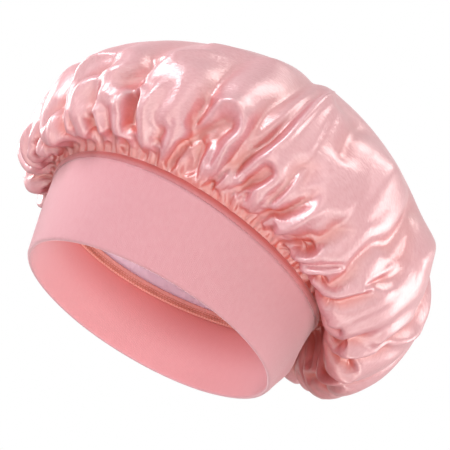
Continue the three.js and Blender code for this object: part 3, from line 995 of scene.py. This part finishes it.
def makeBand():
    section, whole, radius = bandSection()
    angle = ringAngles(band["columns"])
    top = seamHeight(angle)
    straight = top - band["rollHeight"]
    below = band["below"]
    runs = {
        "wall": (radius, straight), "roll": (straight, top), "top": (top, top),
        "slot": (whole, top - below["slot"]), "inner": (radius, top - below["inner"]),
    }
    join, pucker = band["join"], band["pucker"]
    wave, second = wander(angle, 7, 21), wander(angle, 12, 22)
    fromJoin, fromPucker = ((angle - math.radians(p["at"])) * band["joinRadius"] for p in (join, pucker))
    groove = join["depth"] * hump(fromJoin, join["width"])
    swell = pucker["height"] * hump(fromPucker, pucker["width"])
    rows = []
    for run, place, inset in section:
        height = mix(*runs[run], place) if run in runs else place + 0 * angle
        share = height / top
        ripple = wave * np.sin(math.pi * share) + 0.6 * second * np.sin(2.3 * math.pi * share + 1)
        lift = band["ripple"] * ripple - groove * (run in ("wall", "roll", "inner"))
        lift = lift + swell * hump(share - pucker["up"], pucker["reach"])
        rows.append(wallPoint(angle, height, inset - lift))
    first = np.array(rows)[:, 0]
    along = lengthOf(np.roll(first, -1, axis=0) - first)
    up = np.cumsum(along) - along
    piece = sewnRing("jersey_band", rows, band["radius"], up, jersey, along.sum())
    piece.data.materials.append(jerseyInsideShaded)
    inside = np.repeat([run == "inner" for run, place, inset in section], band["columns"])
    piece.data.polygons.foreach_set("material_index", inside.astype(np.int32))
    return piece


bandPiece = makeBand()
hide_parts("stretch_band")
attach(bandPiece, body)
print("band: folded and stretched")


# The bound seam allowance, its rows of stitches and the elastic inside it

allowance = {
    "columns": 960,
    "radius": 0.098,
    "inset": 0.0035,
    "height": 0.0088,
    "thickness": 0.0028,
    "wall": 0.0008,
    "floor": 0.0011,
    "edge": 0.0005,  # how far under the seam the outside starts
    "mouth": 0.0004,  # the same for the channel that the elastic lies in
    "loop": 0.00022,  # how far the overlock loops stand out
    "loopLean": 0.0016,  # drop over which a loop leans on by a radian
    "pucker": 0.0004,
    "puckerFrom": 0.003,  # drop at which the puckers have their full height
    "row": 0.001,  # from one row of points to the next on the flat cloth
    "stitch": 0.0024,  # length of one stitch
    "needleDrops": (0.0042, 0.0058, 0.0074),
    "looperDrop": 0.0067,
    "looperOut": 0.0003,
    "looperSwing": 0.0019,
    "dip": 0.0016,
    "threadRadius": 0.00022,
    "threadSides": 6,
}
elastic = {"columns": 360, "thickness": 0.0008, "height": 0.006, "up": 0.0015}


def makeAllowance():
    inner, thick, edge, mouth = (allowance[k] for k in ("inset", "thickness", "edge", "mouth"))
    outer, half, wall = inner + thick, thick / 2, allowance["wall"]
    bend, floor = allowance["height"] - half, allowance["height"] - allowance["floor"]
    # each point of the section: its drop below the seam, its inset, and whether it shows
    section = [(mix(edge, bend, k / 8), outer, 1) for k in range(9)]
    for a in math.pi / 8 * np.arange(1, 8):
        section.append((bend + half * math.sin(a), inner + half * (1 + math.cos(a)), 1))
    section += [(mix(bend, edge, k / 4), inner, 0) for k in range(5)]
    section += [(mouth, inner + wall, 0), (floor, inner + wall, 0)]
    section += [(floor, outer - wall, 0), (mouth, outer - wall, 0)]
    angle = ringAngles(allowance["columns"])
    pucker = wander(angle, 40, 31) * allowance["pucker"]
    phase = angle * allowance["radius"] / allowance["stitch"] * turn
    rows = []
    for drop, inset, shows in section:
        loop = allowance["loop"] * np.sin(phase + drop / allowance["loopLean"])
        bulge = shows * (loop + pucker * min(drop / allowance["puckerFrom"], 1))
        rows.append(underSeam(angle, drop, inset + bulge))
    up = np.arange(len(rows)) * allowance["row"]
    return sewnRing("bound_allowance", rows, allowance["radius"], up, bindingCloth)


def tubeAlong(path, radius):
    # points of a thin tube along a closed path
    ahead = np.roll(path, -1, 0) - np.roll(path, 1, 0)
    side = unit(np.cross(unit(ahead), (0, 0, 1)))
    up = np.cross(side, unit(ahead))
    a = ringAngles(allowance["threadSides"])[:, None]
    rings = path[:, None] + radius * (side[:, None] * np.cos(a) + up[:, None] * np.sin(a))
    return rings.reshape(-1, 3)


def makeStitches():
    # needle rows dip at every stitch; the looper thread runs zigzag over the bound edge
    outer = allowance["inset"] + allowance["thickness"]
    count = int(round(allowance["radius"] * turn / allowance["stitch"]))
    radius, dip = allowance["threadRadius"], allowance["dip"]
    angle = ringAngles(count * 6)
    low = (np.maximum(np.cos(angle * count), 0.75) - 0.75) * dip
    drops = allowance["needleDrops"]
    threads = [(underSeam(angle, drop, outer + radius - low), radius) for drop in drops]
    angle = ringAngles(count * 8)
    swing = np.arcsin(np.sin(angle * count)) / (math.pi / 2)
    drop = allowance["looperDrop"] + allowance["looperSwing"] * swing
    inset = outer + allowance["looperOut"] - np.maximum(swing - 0.6, 0) * dip
    threads.append((underSeam(angle, drop, inset), radius * 0.8))
    points, faces, done = [], [], 0
    for path, thickness in threads:
        points.append(tubeAlong(path, thickness))
        faces.append(gridFaces(len(path), allowance["threadSides"])[:, ::-1] + done)
        done += len(points[-1])
    points, faces = np.concatenate(points), np.concatenate(faces)
    return makePiece("seam_stitches", points, faces, sewingThread)


def makeElastic():
    middle, half = allowance["inset"] + allowance["thickness"] / 2, elastic["thickness"] / 2
    bottom, height = allowance["height"] - elastic["up"], elastic["height"]
    angle = ringAngles(elastic["columns"])
    section = [(bottom - height * k / 8, middle - half) for k in range(9)]
    section += [(bottom - height * (1 - k / 8), middle + half) for k in range(9)]
    rows = [underSeam(angle, drop, inset) for drop, inset in section]
    up = np.arange(len(rows)) * height / 8
    return sewnRing("elastic_tape", rows, allowance["radius"], up, elasticTape)


allowancePiece = makeAllowance()
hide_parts("overlock_seam")
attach(allowancePiece, body)
stitches = makeStitches()
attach(stitches, body)
elasticPiece = makeElastic()
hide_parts("seam_elastic")
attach(elasticPiece, body)
print("seam: bound, stitched and elasticated")


# The lining, a smooth cap whose edge is caught in the same seam

lining = {
    "front": 0.11,
    "back": 0.112,
    "side": 0.111,
    "height": 0.164,
    "edgeInset": 0.0022,
    "edgeRise": 0.0003,
    "gridRings": 64,
    "flat": (0.36, 0.36),  # metres across its own circle
    # soft gathers where it is drawn in: count, height, reach and seed, and the most they lift
    "pleats": ((52, 0.0016, 0.16, 41), (23, 0.0022, 0.4, 43)),
    "proud": 0.0012,
}
# Rings up to the widest one, then to the top: share out, and share of the rise
liningSkirt = ((0, 0), (0.1, 0.06), (0.6, 0.2), (1, 0.42))
liningDome = ((0.9, 0.66), (0.66, 0.86), (0.34, 0.965), (0, 1))
liningKnots = (0, 0.05, 0.3, 0.5, 0.66, 0.8, 0.9, 1)


def makeLining():
    angle, out, faces = discGrid(lining["gridRings"])
    way = 1 - out
    rise = lining["height"] - seam["height"]
    end = np.where(np.sin(angle) > 0, lining["back"], lining["front"])
    edge, inset = seamHeight(angle) + lining["edgeRise"], lining["edgeInset"]
    rings = []
    for k, (share, up) in enumerate(liningSkirt + liningDome):
        low = k < len(liningSkirt)
        x = mix(low * (seam["width"] / 2 - inset), lining["side"], share) * np.cos(angle)
        y = mix(low * (seam["length"] / 2 - inset), end, share) * np.sin(angle)
        y = y - seam["forward"] * (1 - up)
        rings.append(np.stack((x, y, mix(edge, seam["height"], up) + up * rise), -1))
    form = followRings(np.array(rings), liningKnots, way)
    faces, normals = faceOutward(form, faces, out)
    lift = sum(pleatHeight(angle, way, *pleats) for pleats in lining["pleats"])
    lift = np.minimum(lift, lining["proud"]) * np.clip(way / 0.02, 0, 1)
    reach = out * lining["flat"][0] / 2
    uv = np.stack((reach * np.cos(angle), reach * np.sin(angle)), -1)
    points = form + normals * lift[:, None]
    return makePiece("lining_cap", points, faces, liningCloth, uv)


liningPiece = makeLining()
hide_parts("crown_lining")
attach(liningPiece, body)
print("lining: set in")


offSatin = bpy.data.collections.new("litFromBelow")
for piece in (bandPiece, allowancePiece, stitches, liningPiece):
    offSatin.objects.link(piece)
makeLamps(offSatin)
print("lamps: stand")

view = bpy.context.scene.view_settings
view.view_transform = "Standard"
